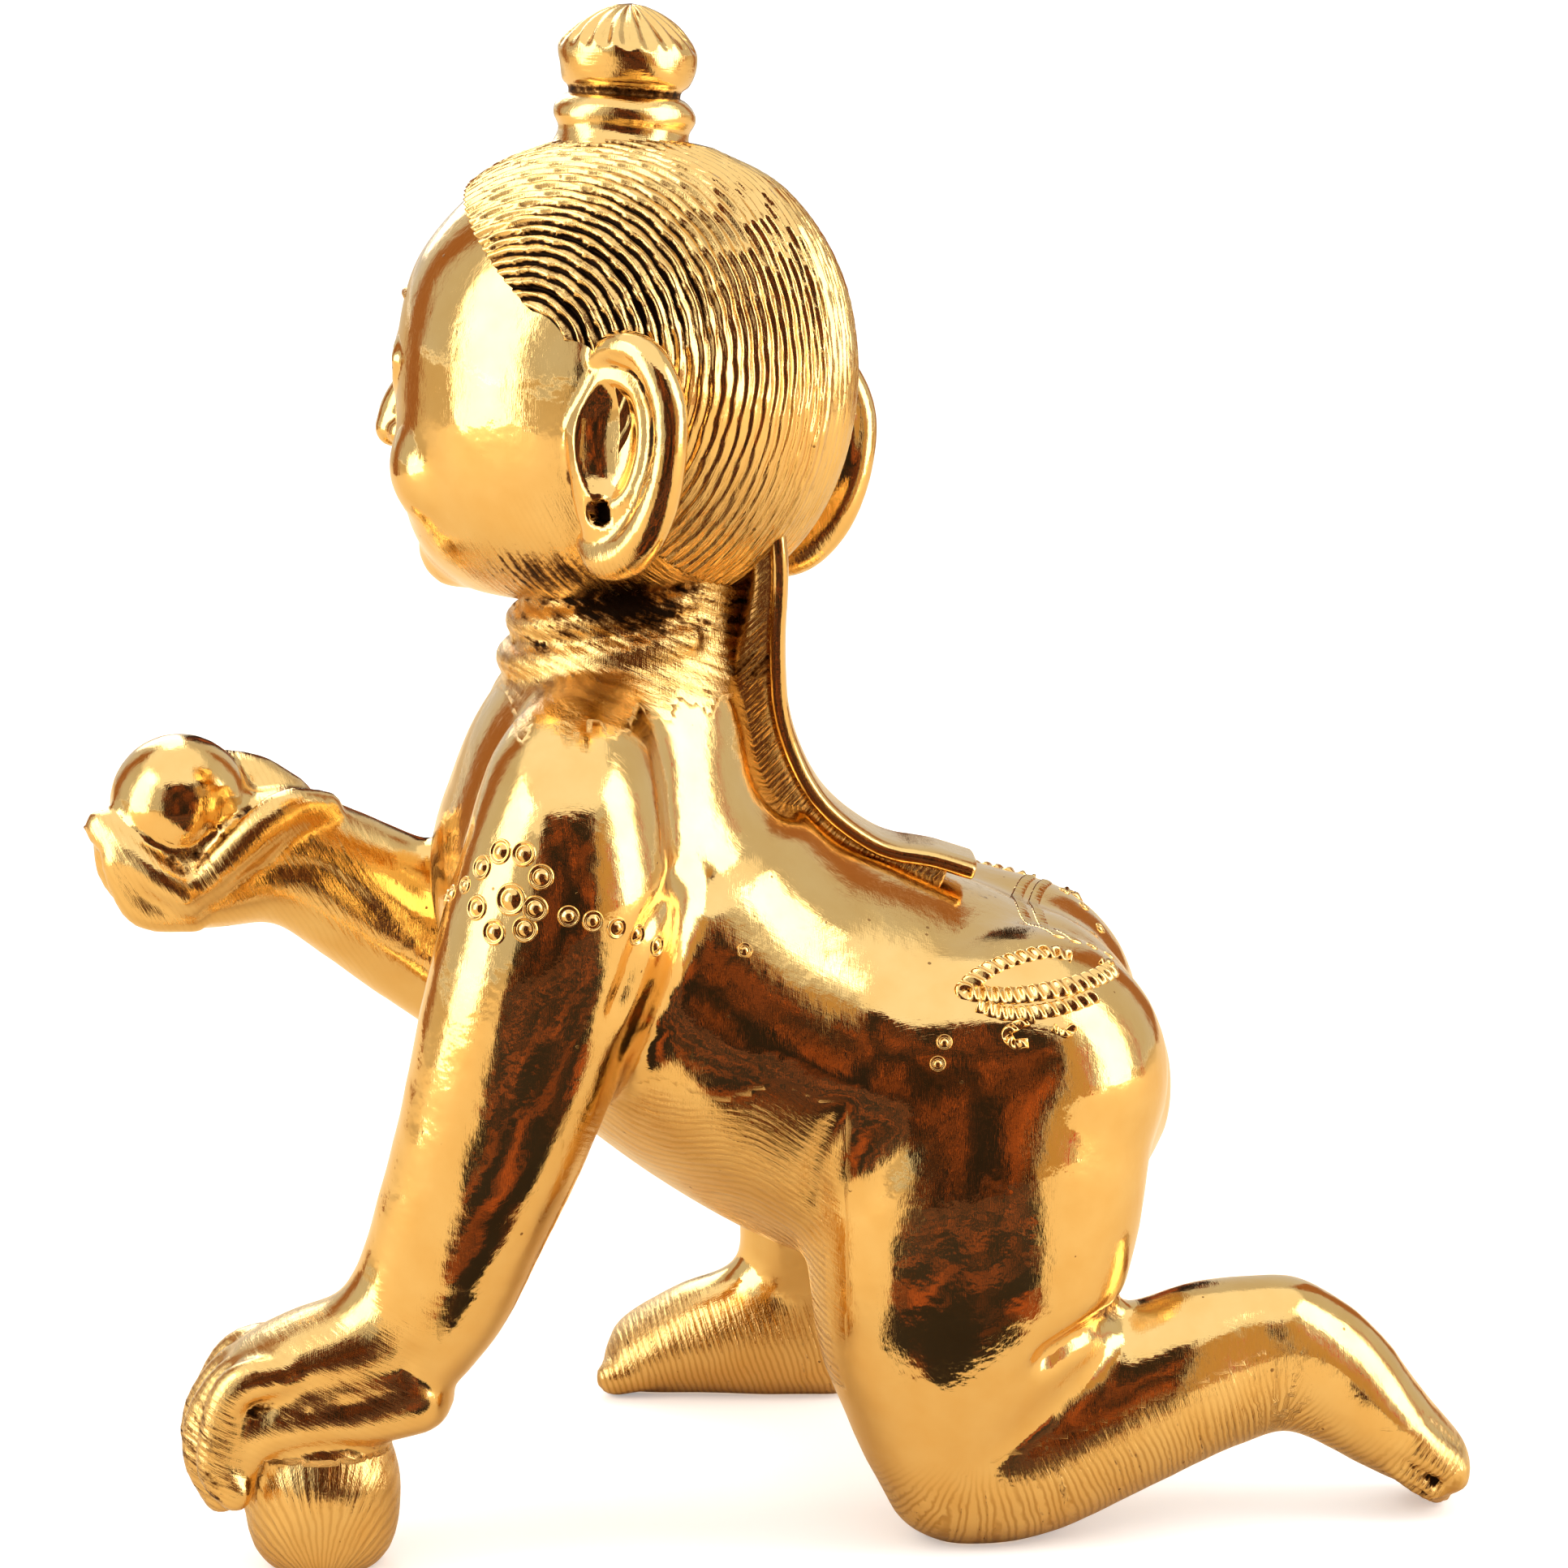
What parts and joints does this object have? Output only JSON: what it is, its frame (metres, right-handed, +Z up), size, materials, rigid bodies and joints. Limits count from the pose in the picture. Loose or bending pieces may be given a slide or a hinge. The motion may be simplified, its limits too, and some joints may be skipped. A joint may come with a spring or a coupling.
{
  "type": "laddu gopal idol",
  "caption": "Crawling child deity idol in polished cast brass, a sweet under one hand and another on the raised palm, chiselled hair with a topknot and white inlaid eyes",
  "frame": {"origin": "on the ground, under the middle of the idol's bounding box", "axes": "+Z up; the idol crawls towards -Y; +X is the idol's left side"},
  "size_m": [0.0554, 0.0978, 0.1064],
  "materials": {
    "brass": "mirror polished, brushed on the hands and shins, dark oxide left in the recesses",
    "enamel": "glossy white enamel with a dark pupil"
  },
  "bodies": {
    "root": {"figure": "brass", "eye_left": "enamel", "eye_right": "enamel"}
  },
  "joints": []
}
